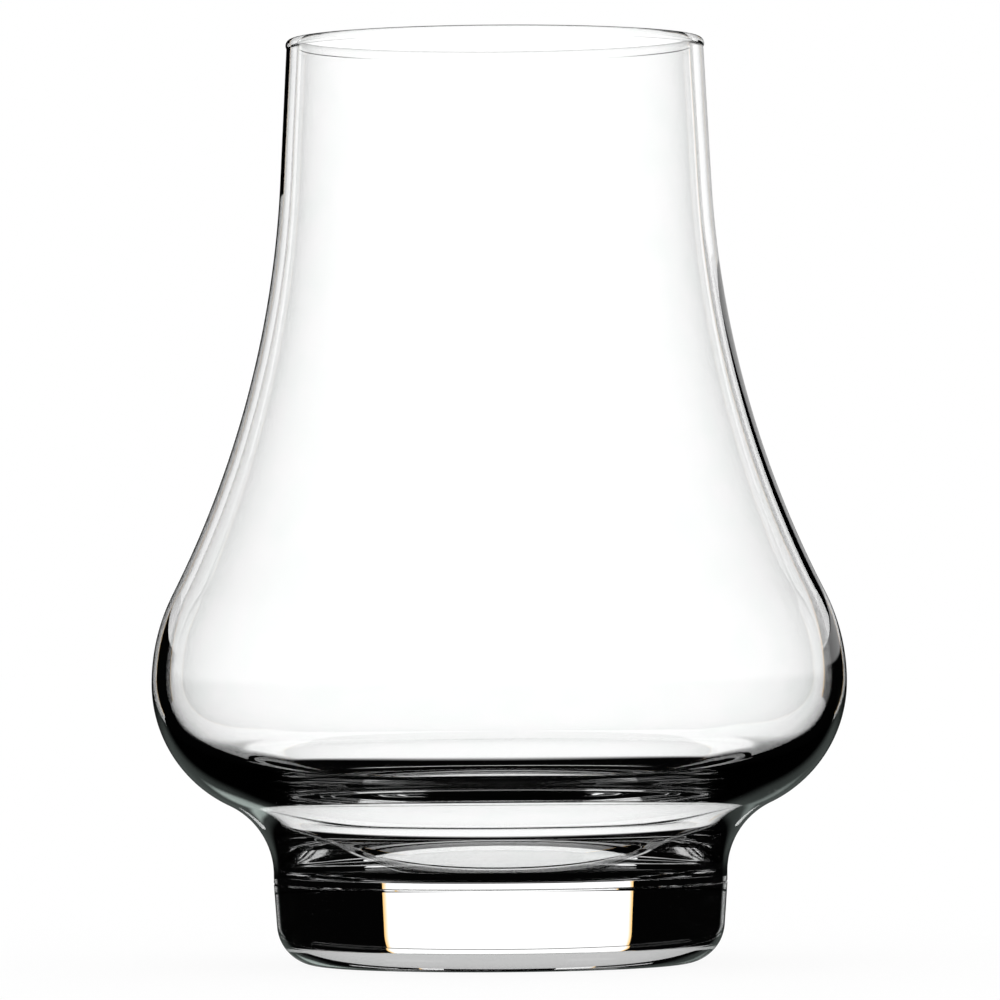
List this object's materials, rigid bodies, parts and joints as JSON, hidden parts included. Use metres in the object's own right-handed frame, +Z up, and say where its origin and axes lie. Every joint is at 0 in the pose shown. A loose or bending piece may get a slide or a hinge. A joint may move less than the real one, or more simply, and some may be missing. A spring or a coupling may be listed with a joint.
{
  "type": "stemless tasting snifter",
  "caption": "Clear glass spirit tasting glass: a bell-shaped bowl with a wide low belly and an upright mouth, fused to a short thick foot.",
  "frame": {"origin": "on the axis, in the plane that the glass stands on", "axes": "+Z up along the axis of revolution, through the foot and the bowl to the mouth"},
  "size_m": [0.075, 0.075, 0.1],
  "materials": {
    "bowl_glass": "clear, fire-polished",
    "foot_glass": "clear, pressed and polished"
  },
  "bodies": {
    "root": {"bowl": "bowl_glass", "foot": "foot_glass"}
  },
  "joints": []
}
